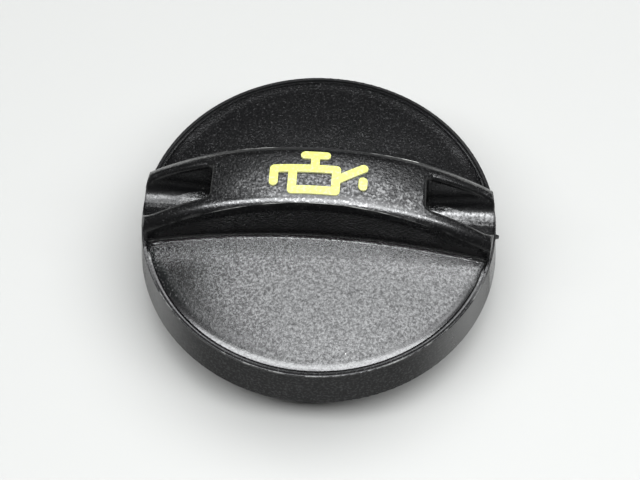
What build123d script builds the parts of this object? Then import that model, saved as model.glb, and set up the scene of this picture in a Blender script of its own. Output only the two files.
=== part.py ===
from build123d import *
from math import asin, cos, degrees, radians, sin, sqrt, tan
import os

# Skirt and rim
lip_radius = 31.0          # outer edge of the rim's lip
lip_width = 0.55
lip_round = 0.2
skirt_height = 8.7         # from the lip down to the skirt's foot
skirt_flare = 0.55         # how much wider the skirt is at its foot
skirt_wall = 2.3
skirt_round = 0.5          # edges of the skirt's foot
flange_drop = 2.6          # flange's underside below the lip
inner_round = 0.4

# Domed top
dome_radius = 104.0
roll_radius = 4.5          # the dome rolls over towards the groove
roll_angle = 30.0          # slope of the dome where it ends at the groove
roll_edge = 0.25
border_drop = 0.15         # dome's border below the lip
groove_width = 0.45        # narrow groove between the dome and the lip
groove_depth = 0.45        # below the dome's border
plate = 2.4                # wall of the dome over the neck

# Grip bar
bar_width = 11.2           # at the waist of its upper outline
bar_foot_width = 12.0      # the sides are straight at the flange
waist_radius = 280.0       # the upper outline bows in towards the waist
bar_rise = 15.1            # bar's crown above the lip
arch_radius = 49.0         # the bar's top seen from the front
crown_radius = 40.0        # the bar's top seen from its end
shoulder_radius = 3.0      # the crown rolls over towards the bar's long edges
shoulder_slope = 35.0      # slope of a shoulder at the waist's sharp long edge
shoulder_end = 70.0        # slope where the shoulders would end at a wider bar
bar_foot_round = 1.0       # hollow fillet between the bar and the dome
footing_angle = 60.0       # the fillet follows the roll-over down into the groove
footing_reach = 8.0        # half width of the strip under the dome that carries the fillet
footing_sink = 0.05        # this strip below the dome's surface
bar_end_setback = 0.35     # bar's ends stand this far in from the lip's outer edge
bar_end_round = 2.2
bar_wall = 2.2             # walls of the bar round its core

# End pockets of the bar
pocket_end_wall = 1.9      # from the neck's bore to a pocket's inner end
rib_width = 2.55           # walls beside a pocket, at its inner end
pocket_rise = 1.9          # pocket's floor above the lip
pocket_corner = 0.8
pocket_spread = 3.0        # slope of the side walls in plan, wider towards the rim
pocket_flat = 0.25         # half width of the level part of the floor
pocket_mouth_round = 1.0

# Neck
neck_wall = 2.4
neck_reach = 8.4           # neck's end below the skirt's foot
neck_round = 0.6
collar_step = 3.0          # collar at the neck's root, which centres the sealing ring
collar_height = 1.0

# Bayonet lugs
lug_count = 2
lug_clearance = 0.2        # lugs pass inside the sealing ring's seat
lug_thickness = 3.6
lug_gap = 6.0              # from the flange's underside to a lug's upper face
lug_angle = 46.0
lug_lead_drop = 1.4        # lead-in ramp on a lug's upper face
lug_lead_run = 5.0

# Sealing ring
ring_clearance = 0.25      # round the collar
ring_gap = 2.25            # to the skirt
ring_width = 4.2
ring_thickness = 2.0
ring_edge = 0.3

# Gate mark on the rim
gate_reach = 0.6
gate_width = 0.9
gate_height = 0.9
gate_drop = 0.3            # top of the mark below the lip
gate_offset = -0.75        # along the rim from the bar's middle
gate_taper = 12.0

# Raised oil-can mark on the bar's top
mark_height = 0.35
stroke = 1.5
can_length = 7.4
can_height = 4.2
spout_reach = 4.6
spout_rise = 3.0
handle_reach = 3.2
handle_drop = 2.6
lid_rise = 2.8
lid_width = 3.6
drop_gap = 2.6             # from the spout's tip down to the drop
drop_length = 1.0

# Radii from the axis
foot_radius = lip_radius + skirt_flare
lip_inner = lip_radius - lip_width
groove_inner = lip_inner - groove_width
bar_end = lip_radius - bar_end_setback
ring_outer = lip_radius - skirt_wall - ring_gap
ring_inner = ring_outer - ring_width
collar_radius = ring_inner - ring_clearance
neck_radius = collar_radius - collar_step
neck_bore = neck_radius - neck_wall
lug_radius = collar_radius - lug_clearance
pocket_start = neck_bore + pocket_end_wall

# Half widths across the bar
half_bar = bar_width / 2
half_pocket = half_bar - rib_width
half_core = half_bar - bar_wall

# Levels, upwards from the neck's end
skirt_foot = neck_reach
lip_top = skirt_foot + skirt_height
flange_under = lip_top - flange_drop
border_top = lip_top - border_drop
groove_floor = border_top - groove_depth
pocket_floor = lip_top + pocket_rise
lug_top = flange_under - lug_gap
bar_top = lip_top + bar_rise
arch_axis = bar_top - arch_radius


def step_along(point, distance, slope):
    return (point[0] + distance * sin(radians(slope)), point[1] + distance * cos(radians(slope)))


def arch_level(radius, x):
    return arch_axis + sqrt(radius**2 - x**2)


# The dome, its roll-over and the edge at the groove run into each other without a corner
roll_reach = roll_edge + (roll_radius - roll_edge) * sin(radians(roll_angle))
dome_angle = degrees(asin((groove_inner - roll_reach) / (dome_radius - roll_radius)))
roll_end = (groove_inner - roll_edge + roll_edge * sin(radians(roll_angle)), border_top)
roll_centre = step_along(roll_end, -roll_radius, roll_angle)
edge_centre = step_along(roll_end, -roll_edge, roll_angle)
dome_centre = step_along(roll_centre, roll_radius - dome_radius, dome_angle)
dome_top = dome_centre[1] + dome_radius

# Neck, flange, skirt and lip from the groove round to the axis, each corner with its rounding
rim_outline = {
    (groove_inner, edge_centre[1]): 0,
    (groove_inner, groove_floor): 0,
    (lip_inner, groove_floor): 0,
    (lip_inner, lip_top): 0,
    (lip_radius, lip_top): lip_round,
    (foot_radius, skirt_foot): skirt_round,
    (foot_radius - skirt_wall, skirt_foot): skirt_round,
    (lip_radius - skirt_wall, flange_under): inner_round,
    (collar_radius, flange_under): 0,
    (collar_radius, flange_under - collar_height): 0,
    (neck_radius, flange_under - collar_height): inner_round,
    (neck_radius, 0): neck_round,
    (0, 0): 0,
}


# The crown and the shoulders of the bar's top run into each other without a corner
shoulder_reach = shoulder_radius * sin(radians(shoulder_slope))
crown_angle = degrees(asin((half_bar - shoulder_reach) / (crown_radius - shoulder_radius)))
shoulder_turn = shoulder_end - crown_angle


# The bar is a slice of a crowned wheel, whose rim gives the arch and the crown
def crowned_wheel(extra):
    crown_centre = (0, bar_top + extra - crown_radius)
    right_centre = step_along(crown_centre, crown_radius - shoulder_radius, crown_angle)
    left_centre = (-right_centre[0], right_centre[1])
    with BuildPart() as wheel:
        with BuildSketch(Plane.YZ):
            with BuildLine():
                right = CenterArc(right_centre, shoulder_radius, 90 - shoulder_end, shoulder_turn)
                CenterArc(crown_centre, crown_radius, 90 - crown_angle, 2 * crown_angle)
                left = CenterArc(left_centre, shoulder_radius, 90 + crown_angle, shoulder_turn)
                Polyline(
                    left @ 1,
                    (-footing_reach, (left @ 1).Y),
                    (-footing_reach, arch_axis),
                    (footing_reach, arch_axis),
                    (footing_reach, (right @ 0).Y),
                    right @ 0,
                )
            make_face()
        revolve(axis=Axis((0, 0, arch_axis), (0, 1, 0)))
    return wheel.part


bar_wheel = crowned_wheel(0)
raised_wheel = crowned_wheel(mark_height)

# Space of one pocket: a level round-bottomed trough, open upwards and towards the rim
with BuildPart() as pocket:
    for reach in (0, arch_radius):
        side = half_pocket + reach * tan(radians(pocket_spread))
        corners = [(-side, bar_top), (-side, pocket_floor), (side, pocket_floor), (side, bar_top)]
        with BuildSketch(Plane.YZ.offset(pocket_start + reach)):
            with BuildLine():
                FilletPolyline(*corners, radius=side - pocket_flat)
                Line(corners[-1], corners[0])
            make_face()
    loft()
    inner_end = pocket.faces().sort_by(Axis.X)[0]
    fillet(inner_end.edges().sort_by(Axis.Z)[:-1], radius=pocket_corner)

pocket_pair = [pocket.part, mirror(pocket.part, about=Plane.YZ)]

# Slice's material with the mouths of its pockets rounded
with BuildPart() as slotted_wheel:
    add(bar_wheel)
    add(pocket_pair, mode=Mode.SUBTRACT)
    # a pocket's edges on the arch are the wheel's only free-form curves
    fillet(slotted_wheel.edges().filter_by(GeomType.BSPLINE), radius=pocket_mouth_round)

half_wide = half_bar + waist_radius - sqrt(waist_radius**2 - arch_radius**2)
end_height = arch_level(arch_radius, bar_end)
peak = end_height + bar_end * bar_end / (end_height - arch_axis)


def at_bar_foot(edge):
    return abs(abs(edge.center().Y) - half_bar) < bar_foot_round


# Bar on a footing that follows the dome and its roll-over, which the foot's fillet runs into
with BuildPart() as bar:
    with BuildSketch(Plane.XZ):
        with BuildLine():
            dome_line = CenterArc(dome_centre, dome_radius - footing_sink, 90, -dome_angle)
            roll_line = CenterArc(
                roll_centre, roll_radius - footing_sink, 90 - dome_angle, dome_angle - footing_angle
            )
            Polyline(roll_line @ 1, ((roll_line @ 1).X, flange_under), (0, flange_under), dome_line @ 0)
        make_face()
    revolve(axis=Axis.Z)
    # sides, straight at the foot and waisted further up
    with BuildSketch(Plane.XY.offset(flange_under)):
        Rectangle(2 * arch_radius, bar_foot_width)
    with BuildSketch(Plane.XY.offset(bar_top)):
        with BuildLine():
            front = ThreePointArc((-arch_radius, -half_wide), (0, -half_bar), (arch_radius, -half_wide))
            back = ThreePointArc((arch_radius, half_wide), (0, half_bar), (-arch_radius, half_wide))
            Line(front @ 1, back @ 0)
            Line(back @ 1, front @ 0)
        make_face()
    loft(ruled=True)
    dome_faces = bar.faces().filter_by(GeomType.SPHERE)
    fillet(dome_faces.edges().filter_by(at_bar_foot), radius=bar_foot_round)
    # arched and crowned top
    add(slotted_wheel.part, mode=Mode.INTERSECT)
    # upright ends that round into the arch
    with BuildSketch(Plane.XZ):
        with BuildLine():
            FilletPolyline(
                (0, flange_under),
                (bar_end, flange_under),
                (bar_end, end_height),
                (0, peak),
                radius=[0, bar_end_round],
            )
            Line((0, peak), (0, flange_under))
        make_face()
    revolve(axis=Axis.Z, mode=Mode.INTERSECT)

# Lugs with a lead-in ramp at the end that turns in first
with BuildPart() as lugs:
    for number in range(lug_count):
        start = radians(number * 360 / lug_count - lug_angle / 2)
        outwards = Vector(cos(start), sin(start), 0)
        sideways = Vector(-sin(start), cos(start), 0)
        with BuildSketch(Plane((0, 0, 0), x_dir=outwards, z_dir=-sideways)):
            with Locations((neck_bore, lug_top)):
                Rectangle(lug_radius - neck_bore, lug_thickness, align=(Align.MIN, Align.MAX))
        revolve(axis=Axis.Z, revolution_arc=lug_angle)
        ramp_corner = outwards * neck_radius + Vector(0, 0, lug_top)
        with BuildSketch(Plane(ramp_corner, x_dir=sideways, z_dir=outwards)):
            Polygon((0, 0), (lug_lead_run, 0), (0, -lug_lead_drop), align=None)
        extrude(amount=neck_radius, both=True, mode=Mode.SUBTRACT)

bore_angle = degrees(asin(neck_bore / (dome_radius - plate)))
core_end = sqrt((neck_bore - inner_round) ** 2 - half_core**2)
core_corner = (core_end, arch_level(arch_radius - bar_wall, core_end))

# One black moulding
with BuildPart() as cap_body:
    with BuildSketch(Plane.XZ):
        with BuildLine():
            CenterArc(dome_centre, dome_radius, 90, -dome_angle)
            CenterArc(roll_centre, roll_radius, 90 - dome_angle, dome_angle - roll_angle)
            CenterArc(edge_centre, roll_edge, 90 - roll_angle, roll_angle - 90)
            FilletPolyline(*rim_outline.keys(), radius=list(rim_outline.values())[1:-1])
            Line((0, 0), (0, dome_top))
        make_face()
    revolve(axis=Axis.Z)
    add(bar.part)
    add(pocket_pair, mode=Mode.SUBTRACT)
    add(lugs.part)
    # neck's bore, up to the underside of the dome
    with BuildSketch(Plane.XZ):
        with BuildLine():
            under_dome = CenterArc(dome_centre, dome_radius - plate, 90, -bore_angle)
            Polyline(
                under_dome @ 1,
                (neck_bore, inner_round),
                (neck_bore + inner_round, 0),
                (0, 0),
                under_dome @ 0,
            )
        make_face()
    revolve(axis=Axis.Z, mode=Mode.SUBTRACT)
    # core of the bar, open to the bore
    with BuildSketch(Plane.XZ):
        with BuildLine():
            roof = ThreePointArc(
                (-core_corner[0], core_corner[1]),
                (0, bar_top - bar_wall),
                core_corner,
            )
            Polyline(roof @ 1, (core_end, flange_under), (-core_end, flange_under), roof @ 0)
        make_face()
    extrude(amount=half_core, both=True, mode=Mode.SUBTRACT)
    # gate mark on the rim
    with BuildSketch(Plane.YZ.offset(lip_inner)):
        with Locations((gate_offset, lip_top - gate_drop)):
            Rectangle(gate_width, gate_height, align=(Align.CENTER, Align.MAX))
    extrude(amount=lip_width + gate_reach, taper=gate_taper)

# Rubber ring, face to face with the flange
with BuildPart() as sealing_ring:
    with BuildSketch(Plane.XZ) as ring_section:
        with Locations((ring_inner, flange_under)):
            Rectangle(ring_width, ring_thickness, align=(Align.MIN, Align.MAX))
        chamfer(ring_section.vertices(), length=ring_edge)
    revolve(axis=Axis.Z)

# Corners of the oil-can mark, seen from above
can_left = handle_reach - (handle_reach + can_length + spout_reach) / 2
can_right = can_left + can_length
can_bottom = -(can_height + lid_rise) / 2
can_top = can_bottom + can_height
spout_root = (can_right, can_bottom + can_height / 2)
spout_tip = (can_right + spout_reach, spout_root[1] + spout_rise)
handle_end = can_left - handle_reach
lid_middle = (can_left + can_right) / 2
lid_top = can_top + lid_rise
drop_top = spout_tip[1] - drop_gap
mark_strokes = [
    ((can_left, can_bottom), (can_right, can_bottom)),
    ((can_right, can_bottom), (can_right, can_top)),
    ((can_right, can_top), (can_left, can_top)),
    ((can_left, can_top), (can_left, can_bottom)),
    (spout_root, spout_tip),
    ((can_left, can_top), (handle_end, can_top)),
    ((handle_end, can_top), (handle_end, can_top - handle_drop)),
    ((lid_middle, can_top), (lid_middle, lid_top)),
    ((lid_middle - lid_width / 2, lid_top), (lid_middle + lid_width / 2, lid_top)),
    ((spout_tip[0], drop_top), (spout_tip[0], drop_top - drop_length)),
]

# Yellow oil-can mark, drawn with round-ended strokes and wrapped over the bar's top
with BuildPart() as oil_symbol:
    with BuildSketch(Plane.XY.offset(dome_top)):
        for start, end in mark_strokes:
            middle = ((start[0] + end[0]) / 2, (start[1] + end[1]) / 2)
            SlotCenterPoint(middle, end, stroke)
    extrude(amount=arch_radius)
    add(raised_wheel, mode=Mode.INTERSECT)
    add(bar_wheel, mode=Mode.SUBTRACT)

cap_body.part.label = "cap_body"
sealing_ring.part.label = "sealing_ring"
oil_symbol.part.label = "oil_symbol"

os.makedirs("parts", exist_ok=True)
export_step(cap_body.part, "parts/cap_body.step")
export_step(sealing_ring.part, "parts/sealing_ring.step")
export_step(oil_symbol.part, "parts/oil_symbol.step")
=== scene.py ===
import math
import bpy
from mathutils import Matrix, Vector


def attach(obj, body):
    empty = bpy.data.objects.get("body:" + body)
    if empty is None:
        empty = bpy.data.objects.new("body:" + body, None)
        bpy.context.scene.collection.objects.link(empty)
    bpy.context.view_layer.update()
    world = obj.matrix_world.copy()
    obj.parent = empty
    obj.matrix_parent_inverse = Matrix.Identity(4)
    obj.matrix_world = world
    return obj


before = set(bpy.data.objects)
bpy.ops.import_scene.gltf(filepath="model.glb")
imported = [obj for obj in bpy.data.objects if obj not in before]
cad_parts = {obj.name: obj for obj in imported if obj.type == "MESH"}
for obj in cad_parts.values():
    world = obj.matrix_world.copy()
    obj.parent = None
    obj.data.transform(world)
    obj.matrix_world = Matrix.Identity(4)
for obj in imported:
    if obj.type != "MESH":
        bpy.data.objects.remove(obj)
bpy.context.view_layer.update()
print("frame loaded:", sorted(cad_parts))


class Wire:  # one socket of a node tree; maths on it adds Math nodes
    def __init__(self, tree, socket=None):
        self.tree = tree
        self.socket = socket

    def add(self, kind, settings=None, sockets=None, out=0):
        node = self.tree.nodes.new(kind if "Node" in kind else "ShaderNode" + kind)
        for name, value in (settings or {}).items():
            setattr(node, name, value)
        for name, value in (sockets or {}).items():
            if isinstance(value, Wire):
                self.tree.links.new(value.socket, node.inputs[name])
            else:
                node.inputs[name].default_value = value
        return Wire(self.tree, node.outputs[out])

    def maths(self, operation, *others):
        return self.add("Math", {"operation": operation}, dict(enumerate((self,) + others)))

    def __add__(self, other):
        return self.maths("ADD", other)

    def __radd__(self, other):
        return self.maths("ADD", other)

    def __sub__(self, other):
        return self.maths("SUBTRACT", other)

    def __rsub__(self, other):
        return self.add("Math", {"operation": "SUBTRACT"}, {0: other, 1: self})

    def __mul__(self, other):
        return self.maths("MULTIPLY", other)

    def __rmul__(self, other):
        return self.maths("MULTIPLY", other)

    def __abs__(self):
        return self.maths("ABSOLUTE")

    def root(self):
        return self.maths("SQRT")

    def most(self, other):
        return self.maths("MAXIMUM", other)

    def least(self, other):
        return self.maths("MINIMUM", other)

    def step(self, low, high):  # 0 below low, 1 above high, smooth between
        settings = {"interpolation_type": "SMOOTHSTEP"}
        return self.add("MapRange", settings, {"Value": self, "From Min": low, "From Max": high})

    def band(self, low, high, soft):  # 1 between low and high
        return self.step(low - soft, low + soft) * (1 - self.step(high - soft, high + soft))

    def paint(self, under, over):  # this mask lays one colour over another
        return self.add("Mix", {"data_type": "RGBA"}, {0: self, 6: under, 7: over}, out=2)

    def noise(self, size, detail, seed):  # lumps of about this size, from a place in millimetres
        shifted = self.add("VectorMath", {"operation": "ADD"}, {0: self, 1: (seed, 2 * seed, -seed)})
        return self.add("TexNoise", None, {"Vector": shifted, "Scale": 1 / size, "Detail": detail})


def newMaterial(name):
    material = bpy.data.materials.new(name)
    material.use_nodes = True
    shader = material.node_tree.nodes["Principled BSDF"]
    return material, shader, Wire(material.node_tree)


def connect(wire, target):
    wire.tree.links.new(wire.socket, target)


def millimetres(start):  # place on the object, from metres
    place = start.add("TexCoord", out="Object")
    return start.add("VectorMath", {"operation": "SCALE"}, {0: place, "Scale": 1000.0})


def axes(place):
    return [place.add("SeparateXYZ", None, {0: place}, out=name) for name in "XYZ"]


def upwardShare(start):  # 1 where the surface faces up, 0 where it is upright
    normal = start.add("NewGeometry", out="Normal")
    return start.add("SeparateXYZ", None, {0: normal}, out="Z")


# Shape of the cap, in millimetres, for what follows its edges
capShape = {
    "lipHeight": 17.1,
    "domeRadius": 104.0,
    "domeTop": 21.47,
    "rollStart": 27.0,
    "barTop": 32.2,
    "barBottom": 14.5,
    "footHalf": 6.0,          # half the bar's width at the flange
    "footFillet": 0.6,        # reach of the fillet at the bar's foot
    "waistHalf": 5.6,         # half the bar's width at the waist of its top
    "waistRadius": 280.0,
    "waistFlare": 0.0013,     # how the waist widens with the square of the way along
    "archRadius": 49.0,
    "crownRadius": 40.0,
    "shoulderRadius": 3.0,
    "shoulderSlope": 35.0,    # degrees
    "edgeRounds": 12,         # rounds in which the long edge settles
}


def barEdge(x):  # place across and height of the bar's long edge at this place along it
    crown, shoulder = capShape["crownRadius"], capShape["shoulderRadius"]
    waist, foot = capShape["waistHalf"], capShape["footHalf"]
    top, bottom = capShape["barTop"], capShape["barBottom"]
    slope = math.radians(capShape["shoulderSlope"])
    start = (waist - shoulder * math.sin(slope)) / (crown - shoulder)
    centreAcross = (crown - shoulder) * start
    centreUp = top - crown + (crown - shoulder) * math.sqrt(1 - start * start)
    axis = top - capShape["archRadius"]
    sag = capShape["waistRadius"] - math.sqrt(capShape["waistRadius"] ** 2 - x * x)
    across, height = waist, top
    for turn in range(capShape["edgeRounds"]):
        reach = centreUp + math.sqrt(shoulder ** 2 - (across - centreAcross) ** 2) - axis
        height = axis + math.sqrt(reach * reach - x * x)
        share = (height - bottom) / (top - bottom)
        across = foot + share * (waist + sag - foot)
    return across, height


# Black moulding: spark-eroded grain, worn edges, painted glint specks and a painted highlight on the lip in
# front. Lengths are in millimetres
blackFinish = {
    "colour": (0.0016, 0.0016, 0.0018, 1.0),
    # lighter colour for the painted glint specks on upward faces, and for the smears on the wall
    "glintsAndSmears": (0.036, 0.036, 0.0365, 1.0),
    "wearAndLipHighlight": (0.36, 0.36, 0.35, 1.0),          # worn to light grey on the edges; on the lip in front, a painted highlight
    "dust": (0.55, 0.54, 0.52, 1.0),
    "ior": 1.45,
    "coatIor": 1.9,
    "coatRoughness": 0.2,
    "zones": {                            # where each zone starts and where it is full
        "bar": (0.5, 1.2),                # height above the dome
        "barEnds": (18.0, 22.0),          # along the bar from its middle
        "pocketEnds": (18.6, 19.6),
        "pocketSides": (2.8, 3.0),        # across the bar from its middle
        "shoulder": (1.0, 2.2),           # from the bar's long edges
        "edge": (0.3, 0.9),
        "shoulderUp": (45.5, 46.5),       # from the axis of the bar's arch
        "foot": (1.5, 6.5),               # out from the bar's sides
        "roll": (28.2, 29.2),             # radius
        "crescent": (28.7, 29.3),
        "groove": (30.3, 30.5),
        "wall": (30.6, 30.9),
        "wallTop": (-0.5, -0.2),          # height from the lip
        "wallSides": (14.0, 27.0),        # left or right from the middle
        "rightHalf": (-1.0, 1.0),         # from left to right
        "crescentBack": (-18.0, -8.0),    # from front to back
        "behind": (2.0, 10.0),
        "away": (0.0, 4.0),
        "facing": (0.5, 0.8),             # upward share of the normal
    },
    "grain": (                            # size, detail, seed, share of the relief, more of it on the bar
        (0.52, 1.0, 0.0, 0.42, 0.16),
        (0.3, 1.0, 7.0, 0.38, -0.04),
        (0.18, 0.0, 17.0, 0.2, -0.12),
    ),
    "grainDepth": 0.09,
    "depthChange": {                      # share of that depth, more or less in each zone
        "roll": -0.65, "behind": 0.3, "barMiddle": 1.2, "barSides": -1.2, "barEnds": -0.6, "foot": 2.4,
    },
    "peaks": (0.33, 0.68),                # relief at which a grain starts to shine and shines fully
    "glint": (0.88, 1.25),                # shine of the peaks on the dome and on the bar
    "shine": {"crescent": 0.25, "shoulder": 0.38, "foot": 0.2, "steep": 0.1},     # coat beside the peaks' own
    "dulled": {"roll": 0.7, "wall": 0.85, "groove": 0.9, "away": 0.9, "leftPocket": 0.6},     # coat taken off
    "roughness": 0.24,
    "roughnessChange": {"bar": 0.05, "shoulder": -0.04, "foot": -0.04, "away": 0.4},
    "clouds": (9.0, 3.0, 3.0),            # size, detail and seed
    "cloudRoughness": 0.1,
    "reliefRoughness": 0.16,
    "bareRoughness": 0.2,
    "wallRoughness": (0.85, 0.3, 0.2),    # in front, at the left and at the right
    "wear": {                             # a pattern is size, detail and seed
        "patches": (2.2, 3.0, 11.0),
        "barEdges": {"near": (0.08, 0.3), "up": (47.2, 47.7), "patchy": (0.4, 0.7), "amount": 0.04},
        # lip: light grey patches on the front of the lip only, a painted highlight
        "lip": {"ring": (30.84, 31.1, 0.05), "up": (-0.3, -0.12), "back": (-14.0, -6.0), "patchy": (0.5, 0.64),
                "amount": 0.3},
        "skirtFoot": {"ring": (31.3, 31.5), "up": (-8.7, -8.1, 0.15), "patchy": (0.5, 0.7), "amount": 0.1},
        "dust": {"perMillimetre": 0.3, "size": (0.02, 0.035), "chosen": (0.72, 0.74), "amount": 0.8},
        # painted glints: lighter specks in the colour, on faces that face up, outside the pockets
        "paintedGlints": {"pattern": (0.32, 1.0, 21.0), "range": (0.57, 0.77)},
        "smears": {"pattern": (0.42, 2.0, 31.0), "range": (0.45, 0.7), "amount": 0.75},
    },
    "slopes": {                           # soft slopes that only the finish has: width and steepness
        "sweep": (8.5, 0.23),             # rise of the dome towards the bar
        "sweepRight": (4.0, 18.0, 0.35),  # where it grows steeper to the right, and by how much
        "foot": (3.5, 0.23),              # its last stretch
        "rollHold": (1.6, 0.13),          # the roll-off starts later in front
        "rollHoldAlong": (-17.0, 20.0, 6.0),
        "rear": (-2.0, 10.0),             # from front to back, where the roll-off is flatter
        "rearRoll": (2.4, 0.06),
        "lip": (30.45, 0.6, 0.25),        # inner radius, width and steepness of the lip's slant
        "lipTurn": (-14.0, 10.0),         # from front to back, where the slant changes sides
        "pocket": (0.6, 0.4),             # where the pocket's front slope ends, and its steepness
    },
}


def capPlaces(start):  # measures that the zones and slopes are given in
    place = millimetres(start)
    x, y, z = axes(place)
    radius = (x * x + y * y).root()
    domeRadius = capShape["domeRadius"]
    domeDrop = domeRadius - (domeRadius ** 2 - radius * radius).root()
    archUp = z - (capShape["barTop"] - capShape["archRadius"])
    fromSide = abs(y) - (capShape["waistHalf"] + capShape["waistFlare"] * (x * x))
    return {
        "place": place, "x": x, "y": y, "radius": radius, "across": abs(y),
        "height": z - capShape["lipHeight"],
        "aboveDome": z - capShape["domeTop"] + domeDrop,
        "fromAxis": (x * x + archUp * archUp).root(),
        "fromSide": fromSide,
        "fromEdge": abs(fromSide),
    }


def capZones(at, start):  # masks of the cap's zones
    limits = blackFinish["zones"]
    x, y, radius = at["x"], at["y"], at["radius"]
    zone = {"bar": at["aboveDome"].step(*limits["bar"])}
    offBar = 1 - zone["bar"]
    zone["wall"] = radius.step(*limits["wall"]) * (1 - at["height"].step(*limits["wallTop"]))
    zone["roll"] = radius.step(*limits["roll"]) * offBar
    zone["crescent"] = radius.step(*limits["crescent"]) * offBar * (1 - y.step(*limits["crescentBack"]))
    zone["groove"] = radius.step(*limits["groove"])
    zone["behind"] = y.step(*limits["behind"]) * offBar
    zone["pocket"] = abs(x).step(*limits["pocketEnds"]) * (1 - at["across"].step(*limits["pocketSides"]))
    zone["leftPocket"] = zone["pocket"] * (1 - x.step(*limits["rightHalf"]))
    shoulderUp = at["fromAxis"].step(*limits["shoulderUp"])
    zone["shoulder"] = (1 - at["fromEdge"].step(*limits["shoulder"])) * shoulderUp * zone["bar"]
    zone["barMiddle"] = zone["bar"] * (1 - abs(x).step(*limits["barEnds"]))
    zone["barSides"] = zone["shoulder"].most(zone["pocket"]) * zone["barMiddle"]
    zone["barEnds"] = zone["bar"] - zone["barMiddle"]
    edge = (1 - at["fromEdge"].step(*limits["edge"])) * zone["shoulder"]
    zone["away"] = edge.most(zone["groove"]) * y.step(*limits["away"])     # edges that face away
    zone["foot"] = (1 - at["fromSide"].step(*limits["foot"])) * offBar * (1 - zone["behind"])
    zone["facing"] = upwardShare(start).step(*limits["facing"])
    return zone


def changed(plain, changes, zone):  # a value that each zone raises or lowers
    for name, change in changes.items():
        plain = plain + change * zone[name]
    return plain


def grainRelief(place, zone):
    shares = []
    for size, detail, seed, share, onBar in blackFinish["grain"]:
        shares.append(place.noise(size, detail, seed) * (share + onBar * zone["bar"]))
    coarse, fine, finest = shares
    return coarse + fine + finest


def wornEdgesAndLipHighlight(at):  # worn bar's long edges and foot of the skirt, painted highlight on the lip in front
    radius, height = at["radius"], at["height"]
    patches = at["place"].noise(*blackFinish["wear"]["patches"])
    wear = blackFinish["wear"]["barEdges"]
    barEdges = (1 - at["fromEdge"].step(*wear["near"])) * at["fromAxis"].step(*wear["up"])
    wearAndLipHighlight = barEdges * patches.step(*wear["patchy"]) * wear["amount"]
    # Lip in front only: light grey patches that are a painted highlight
    wear = blackFinish["wear"]["lip"]
    lip = radius.band(*wear["ring"]) * height.step(*wear["up"]) * (1 - at["y"].step(*wear["back"]))
    wearAndLipHighlight = wearAndLipHighlight.most(lip * patches.step(*wear["patchy"]) * wear["amount"])
    wear = blackFinish["wear"]["skirtFoot"]
    skirtFoot = radius.step(*wear["ring"]) * height.band(*wear["up"])
    return wearAndLipHighlight.most(skirtFoot * patches.step(*wear["patchy"]) * wear["amount"])


def dustSpecks(place):
    wear = blackFinish["wear"]["dust"]
    sockets = {"Vector": place, "Scale": wear["perMillimetre"]}
    distance = place.add("TexVoronoi", {"feature": "F1"}, sockets, out="Distance")
    cellColour = place.add("TexVoronoi", {"feature": "F1"}, sockets, out="Color")
    chosen = place.add("SeparateColor", None, {0: cellColour}, out=0).step(*wear["chosen"])
    return (1 - distance.step(*wear["size"])) * chosen * wear["amount"]


def blackColour(at, zone, wearAndLipHighlight):
    # Painted glints: specks of lighter colour only on upward faces outside the pockets; the smears on the wall
    # are tone
    wear = blackFinish["wear"]["paintedGlints"]
    paintedGlints = at["place"].noise(*wear["pattern"]).step(*wear["range"]) * zone["facing"] * (1 - zone["pocket"])
    wear = blackFinish["wear"]["smears"]
    smears = at["place"].noise(*wear["pattern"]).step(*wear["range"]) * zone["wall"]
    colour = paintedGlints.most(wear["amount"] * smears).paint(blackFinish["colour"], blackFinish["glintsAndSmears"])
    colour = wearAndLipHighlight.paint(colour, blackFinish["wearAndLipHighlight"])
    return dustSpecks(at["place"]).paint(colour, blackFinish["dust"])


def blackRoughness(at, zone, relief, wearAndLipHighlight):
    clouds = at["place"].noise(*blackFinish["clouds"])
    roughness = blackFinish["roughness"] + blackFinish["cloudRoughness"] * (clouds - 0.5)
    roughness = roughness + blackFinish["reliefRoughness"] * (0.5 - relief)
    roughness = changed(roughness, blackFinish["roughnessChange"], zone) + blackFinish["bareRoughness"] * wearAndLipHighlight
    inFront, atLeft, atRight = blackFinish["wallRoughness"]
    sides = blackFinish["zones"]["wallSides"]
    onWall = inFront + (atLeft - inFront) * (-1 * at["x"]).step(*sides)
    onWall = onWall + (atRight - inFront) * at["x"].step(*sides)
    return roughness + (onWall - blackFinish["roughness"]) * zone["wall"]


def blackShine(zone, relief):
    shine, dulled = blackFinish["shine"], blackFinish["dulled"]
    onDome, onBar = blackFinish["glint"]
    peaks = relief.step(*blackFinish["peaks"])
    sparse = peaks * (1 - zone["barMiddle"] * (1 - peaks))     # fewer bright grains on the bar
    glints = sparse * (onDome + (onBar - onDome) * zone["barMiddle"])
    coat = glints * (1 - dulled["roll"] * zone["roll"]) + shine["crescent"] * zone["crescent"]
    coat = coat.most(shine["shoulder"] * zone["shoulder"]).most((shine["foot"] + peaks) * zone["foot"])
    coat = coat * zone["facing"].most(shine["steep"]).most(zone["roll"]).most(zone["foot"])
    for name in ("wall", "groove", "away", "leftPocket"):
        coat = coat * (1 - dulled[name] * zone[name])
    return coat


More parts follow.
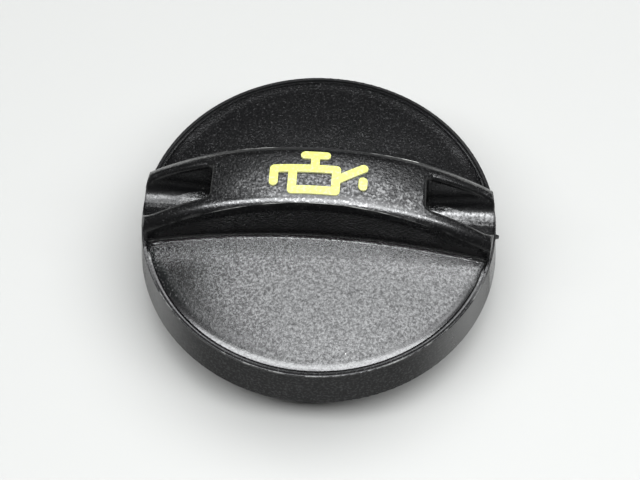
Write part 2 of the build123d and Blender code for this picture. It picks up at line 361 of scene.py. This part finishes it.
def softSlopes(at, zone):  # height in millimetres that they add
    slopes = blackFinish["slopes"]
    x, y, radius = at["x"], at["y"], at["radius"]
    fromFoot = (at["fromSide"] - capShape["footFillet"]).most(0.0)

    def riseToBar(width, steepness):
        near = (1 - fromFoot * (1 / width)).most(0.0)
        return near * near * (0.5 * steepness * width)

    rightStart, rightFull, steeper = slopes["sweepRight"]
    rise = riseToBar(*slopes["sweep"]) * (1 + steeper * x.step(rightStart, rightFull))
    rise = rise + riseToBar(*slopes["foot"])
    rear = y.step(*slopes["rear"])
    rolled = (radius - capShape["rollStart"]).most(0.0)
    width, steepness = slopes["rollHold"]
    rise = rise + rolled.least(width) * steepness * (1 - rear) * x.band(*slopes["rollHoldAlong"])
    width, bend = slopes["rearRoll"]
    rolled = rolled.least(width)
    rise = rise + rolled * rolled * bend * rear
    inner, width, steepness = slopes["lip"]
    slant = 2 * y.step(*slopes["lipTurn"]) - 1
    rise = rise - (radius - inner).most(0.0).least(width) * slant * steepness
    end, steepness = slopes["pocket"]
    return rise - steepness * (y - end).least(0.0) * zone["pocket"]


def blackMoulding():
    material, shader, start = newMaterial("black_moulding")
    at = capPlaces(start)
    zone = capZones(at, start)
    relief = grainRelief(at["place"], zone)
    wearAndLipHighlight = wornEdgesAndLipHighlight(at)
    connect(blackColour(at, zone, wearAndLipHighlight), shader.inputs["Base Color"])
    connect(blackRoughness(at, zone, relief, wearAndLipHighlight), shader.inputs["Roughness"])
    connect(blackShine(zone, relief), shader.inputs["Coat Weight"])
    shader.inputs["Coat Roughness"].default_value = blackFinish["coatRoughness"]
    shader.inputs["Coat IOR"].default_value = blackFinish["coatIor"]
    shader.inputs["IOR"].default_value = blackFinish["ior"]
    depth = changed(1, blackFinish["depthChange"], zone)
    surface = relief * depth * blackFinish["grainDepth"] + softSlopes(at, zone)
    bump = start.add("Bump", None, {"Strength": 1.0, "Distance": 0.001, "Height": surface})
    connect(bump, shader.inputs["Normal"])
    return material


# Yellow mark
yellowFinish = {
    "colour": (0.43, 0.435, 0.103, 1.0),
    "sideHighlightAndWear": (0.66, 0.65, 0.34, 1.0),     # painted highlight on its sides, and its worn patches
    "sides": (0.55, 0.85),               # upward share of the normal
    "sideHighlight": 0.8,
    "mottle": (0.5, 2.0, 0.0),           # size in millimetres, detail and seed
    "patches": (0.45, 0.7),
    "patchesPale": 0.5,
    "roughness": 0.4,
    "roughnessSpread": 0.2,
    "bumpStrength": 0.5,
    "bumpDepth": 0.00003,                # metres
}


def yellowMark():
    material, shader, start = newMaterial("yellow_mark")
    mottle = millimetres(start).noise(*yellowFinish["mottle"])
    # Sides paler than the top: a painted highlight; the mottled patches are wear
    sides = 1 - upwardShare(start).step(*yellowFinish["sides"])
    sideHighlightAndWear = sides * yellowFinish["sideHighlight"]
    sideHighlightAndWear = sideHighlightAndWear + yellowFinish["patchesPale"] * mottle.step(*yellowFinish["patches"])
    connect(sideHighlightAndWear.paint(yellowFinish["colour"], yellowFinish["sideHighlightAndWear"]), shader.inputs["Base Color"])
    roughness = yellowFinish["roughness"] + yellowFinish["roughnessSpread"] * (mottle - 0.5)
    connect(roughness, shader.inputs["Roughness"])
    sockets = {"Height": mottle, "Strength": yellowFinish["bumpStrength"],
               "Distance": yellowFinish["bumpDepth"]}
    connect(start.add("Bump", None, sockets), shader.inputs["Normal"])
    return material


# Rubber of the sealing ring
rubberFinish = {
    "colour": (0.011, 0.011, 0.012, 1.0),
    "bloom": (0.045, 0.044, 0.042, 1.0),     # dull film on the rubber
    "film": (6.0, 4.0, 2.0),                 # size in millimetres, detail and seed
    "filmRange": (0.4, 0.75),
    "filmAmount": 0.6,
    "pores": (0.3, 2.0, 5.0),
    "lines": (9.0, 0.12),                    # turning lines of the mould: how close and how deep
    "roughness": 0.52,
    "filmRoughness": 0.2,
    "poreRoughness": 0.1,
    "bumpStrength": 0.6,
    "bumpDepth": 0.00003,                    # metres
}


def sealRubber():
    material, shader, start = newMaterial("seal_rubber")
    place = millimetres(start)
    x, y = axes(place)[:2]
    radius = (x * x + y * y).root()      # lines run round the ring
    film = place.noise(*rubberFinish["film"]).step(*rubberFinish["filmRange"])
    pores = place.noise(*rubberFinish["pores"])
    closeness, lineDepth = rubberFinish["lines"]
    lines = (radius * closeness).maths("SINE")
    colour = (film * rubberFinish["filmAmount"]).paint(rubberFinish["colour"], rubberFinish["bloom"])
    connect(colour, shader.inputs["Base Color"])
    roughness = rubberFinish["roughness"] + rubberFinish["filmRoughness"] * film
    connect(roughness + rubberFinish["poreRoughness"] * (pores - 0.5), shader.inputs["Roughness"])
    surface = pores + lineDepth * lines
    sockets = {"Height": surface, "Strength": rubberFinish["bumpStrength"],
               "Distance": rubberFinish["bumpDepth"]}
    connect(start.add("Bump", None, sockets), shader.inputs["Normal"])
    return material


finishes = {"cap_body": blackMoulding(), "oil_symbol": yellowMark(), "sealing_ring": sealRubber()}
for nodeName, finish in finishes.items():
    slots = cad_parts[nodeName].data.materials
    slots.clear()
    slots.append(finish)
print("finishes:", sorted(finishes))

# Thin flash at the mould's parting line, along the bar's two long edges
flashLook = {
    "radius": 0.00006,              # metres, as are the next two
    "unevenness": 0.00005,
    "lumps": 0.0012,                # length of the uneven stretches
    "lumpDetail": 3.0,
    "seed": 4.0,
    "ringSides": 6,
    "reach": {-1: 19.0, 1: 27.0},   # millimetres along the bar from its middle, in front and behind
    "steps": 150,
    "colour": (0.012, 0.012, 0.012, 1.0),
    # light grey of the flash: partly wear, partly a painted highlight along the edges
    "light": (0.42, 0.42, 0.4, 1.0),
    "patches": (2.5, 3.0, 5.0),     # size in millimetres, detail and seed
    "patchRange": (0.35, 0.7),
    "patchAmount": 0.6,
    "rearHalf": (-1.0, 1.0),        # millimetres from front to back
    "nick": (13.9, 16.8, 0.25),     # white nick in the rear edge, millimetres along the bar
    "frontFade": (13.0, 19.0),
    "rearLight": (8.0, 17.0, 2.0),
    "roughness": 0.35,
    "lightRoughness": 0.25,
    "specular": 0.2,
}


def flashFinish():
    material, shader, start = newMaterial("bar_flash")
    place = millimetres(start)
    x, y = axes(place)[:2]
    patches = place.noise(*flashLook["patches"]).step(*flashLook["patchRange"])
    behind = y.step(*flashLook["rearHalf"])
    nick = x.band(*flashLook["nick"]) * behind
    # Partly wear, partly a painted highlight: light patches on the front flash only near the middle, fading
    # towards the ends, and on the rear flash in two stretches; the nick is white
    front = (1 - abs(x).step(*flashLook["frontFade"])) * (1 - behind)
    rear = abs(x).band(*flashLook["rearLight"]) * behind
    light = (patches * flashLook["patchAmount"] * (front + rear)).most(nick)
    connect(light.paint(flashLook["colour"], flashLook["light"]), shader.inputs["Base Color"])
    connect(flashLook["roughness"] + flashLook["lightRoughness"] * light, shader.inputs["Roughness"])
    shader.inputs["Specular IOR Level"].default_value = flashLook["specular"]
    return material


def flashTree():
    tree = bpy.data.node_groups.new("barFlash", "GeometryNodeTree")
    sockets = {"Path": "Geometry", "Radius": "Float", "Unevenness": "Float", "Lumps": "Float", "Seed": "Float",
               "Finish": "Material"}
    ports = {}
    for name, kind in sockets.items():
        socket = tree.interface.new_socket(name, in_out="INPUT", socket_type="NodeSocket" + kind)
        ports[name] = socket.identifier
    tree.interface.new_socket("Flash", in_out="OUTPUT", socket_type="NodeSocketGeometry")
    given = tree.nodes.new("NodeGroupInput")
    start = Wire(tree)

    def port(name):
        return Wire(tree, given.outputs[name])

    line = start.add("GeometryNodeMeshToCurve", None, {"Mesh": port("Path")})
    ring = start.add("GeometryNodeCurvePrimitiveCircle", None,
                     {"Resolution": flashLook["ringSides"], "Radius": port("Radius")})
    tube = start.add("GeometryNodeCurveToMesh", None,
                     {"Curve": line, "Profile Curve": ring, "Fill Caps": True})
    where = start.add("GeometryNodeInputPosition")
    outward = start.add("GeometryNodeInputNormal")
    lumps = start.add("TexNoise", {"noise_dimensions": "4D"},
                      {"Vector": where, "W": port("Seed"), "Scale": port("Lumps"),
                       "Detail": flashLook["lumpDetail"]})
    push = (lumps - 0.5) * 2.0 * port("Unevenness")
    offset = start.add("VectorMath", {"operation": "SCALE"}, {0: outward, "Scale": push})
    uneven = start.add("GeometryNodeSetPosition", None, {"Geometry": tube, "Offset": offset})
    real = start.add("GeometryNodeRealizeInstances", None, {"Geometry": uneven})
    done = start.add("GeometryNodeSetMaterial", None, {"Geometry": real, "Material": port("Finish")})
    tree.links.new(done.socket, tree.nodes.new("NodeGroupOutput").inputs[0])
    return tree, ports


def makeFlash():
    points, edges = [], []
    steps = flashLook["steps"]
    for side in (-1, 1):
        first = len(points)
        for step in range(steps + 1):
            x = flashLook["reach"][side] * (2 * step / steps - 1)
            across, height = barEdge(x)
            points.append((x / 1000, side * across / 1000, height / 1000))
        edges += [(first + step, first + step + 1) for step in range(steps)]
    mesh = bpy.data.meshes.new("flashPath")
    mesh.from_pydata(points, edges, [])
    path = bpy.data.objects.new("flashPath", mesh)
    bpy.context.scene.collection.objects.link(path)
    tree, ports = flashTree()
    finish = flashFinish()
    modifier = path.modifiers.new("flash", "NODES")
    modifier.node_group = tree
    modifier[ports["Radius"]] = flashLook["radius"]
    modifier[ports["Unevenness"]] = flashLook["unevenness"]
    modifier[ports["Lumps"]] = 1 / flashLook["lumps"]
    modifier[ports["Seed"]] = flashLook["seed"]
    modifier[ports["Finish"]] = finish
    plain = bpy.data.meshes.new_from_object(path.evaluated_get(bpy.context.evaluated_depsgraph_get()))
    path.modifiers.remove(modifier)
    bpy.data.objects.remove(path)
    plain.name = "bar_flash"
    flash = bpy.data.objects.new("bar_flash", plain)
    bpy.context.scene.collection.objects.link(flash)
    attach(flash, "root")
    print("flash along the bar:", len(plain.polygons), "faces,", [m.name for m in plain.materials])


makeFlash()

# Floor
floorLook = {"reach": 3.0, "colour": (0.36, 0.36, 0.35, 1.0), "roughness": 0.6}


def makeFloor():
    reach = floorLook["reach"]
    corners = [(-reach, -reach, 0), (reach, -reach, 0), (reach, reach, 0), (-reach, reach, 0)]
    mesh = bpy.data.meshes.new("floor")
    mesh.from_pydata(corners, [], [(0, 1, 2, 3)])
    floor = bpy.data.objects.new("floor", mesh)
    bpy.context.scene.collection.objects.link(floor)
    material, shader = newMaterial("floor")[:2]
    shader.inputs["Base Color"].default_value = floorLook["colour"]
    shader.inputs["Roughness"].default_value = floorLook["roughness"]
    mesh.materials.append(material)


makeFloor()

# Camera at the photograph's place
photoView = {
    "frameWidth": 640,        # pixels
    "frameHeight": 480,
    "focal": 2284.6,          # pixels
    "sensor": 36.0,           # millimetres
    "azimuth": 3.86,          # degrees
    "elevation": 57.53,
    "distance": 0.400,        # metres from the middle of the lip
    "lipHeight": 0.0171,
    "lipPixel": (318.75, 220.87),
}


def direction(azimuth, elevation):
    turn, rise = math.radians(azimuth), math.radians(elevation)
    return Vector((math.sin(turn) * math.cos(rise), -math.cos(turn) * math.cos(rise), math.sin(rise)))


def makeCamera():
    data = bpy.data.cameras.new("camera")
    width = photoView["frameWidth"]
    data.sensor_width = photoView["sensor"]
    data.lens = photoView["focal"] * photoView["sensor"] / width
    data.shift_x = (width / 2 - photoView["lipPixel"][0]) / width
    data.shift_y = (photoView["lipPixel"][1] - photoView["frameHeight"] / 2) / width
    camera = bpy.data.objects.new("camera", data)
    bpy.context.scene.collection.objects.link(camera)
    back = direction(photoView["azimuth"], photoView["elevation"])
    camera.location = Vector((0, 0, photoView["lipHeight"])) + back * photoView["distance"]
    camera.rotation_mode = "QUATERNION"
    camera.rotation_quaternion = (-back).to_track_quat("-Z", "Y")
    bpy.context.scene.camera = camera


makeCamera()

# Soft studio light: three softboxes above, over the cap, in front of it and behind it
lightSetup = {
    "overhead": {"place": (0.14, 0.18, 0.6), "size": (0.86, 0.52), "power": 4.73},
    "front": {"place": (0.04, -0.207, 0.6), "size": (1.45, 0.25), "power": 10.0},
    "behind": {"place": (0.12, 0.35, 0.6), "size": (1.2, 0.22), "power": 2.0},
    "tint": (0.97, 0.985, 1.0),
    "sky": (0.5, 0.5, 0.5, 1.0),
    "skyStrength": 0.1,
}


def makeLight(name):
    setup = lightSetup[name]
    data = bpy.data.lights.new(name, "AREA")
    data.shape = "ELLIPSE"
    data.size, data.size_y = setup["size"]
    data.energy = setup["power"]
    data.color = lightSetup["tint"]
    light = bpy.data.objects.new(name, data)
    bpy.context.scene.collection.objects.link(light)
    light.location = setup["place"]      # shines straight down


def makeLights():
    for name in ("overhead", "front", "behind"):
        makeLight(name)
    world = bpy.data.worlds.new("studio")
    world.use_nodes = True
    background = world.node_tree.nodes["Background"]
    background.inputs["Color"].default_value = lightSetup["sky"]
    background.inputs["Strength"].default_value = lightSetup["skyStrength"]
    bpy.context.scene.world = world
    bpy.context.scene.view_settings.view_transform = "Standard"


makeLights()
print("floor, camera and lights made")
